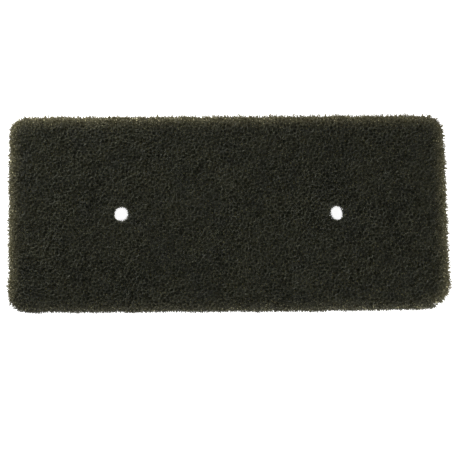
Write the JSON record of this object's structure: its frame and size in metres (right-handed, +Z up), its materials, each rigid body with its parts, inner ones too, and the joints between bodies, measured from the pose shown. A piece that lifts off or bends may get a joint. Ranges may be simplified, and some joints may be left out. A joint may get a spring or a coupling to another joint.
{
  "type": "foam air filter pad",
  "caption": "Flat rectangular air filter pad of black open-cell foam, with rounded corners and round holes on its long centreline for the studs of its tray.",
  "frame": {"origin": "middle of the pad's lower face, halfway between the stud holes", "axes": "+X along the pad's length and through both stud holes, +Y across its width, +Z up through its thickness, parallel to the stud holes"},
  "size_m": [0.24, 0.107, 0.01],
  "materials": {
    "foam": "matt black open-cell polyurethane foam, cut faces with open strut ends, slight sheen on the struts"
  },
  "bodies": {
    "root": {"foam_pad": "foam"}
  },
  "joints": []
}
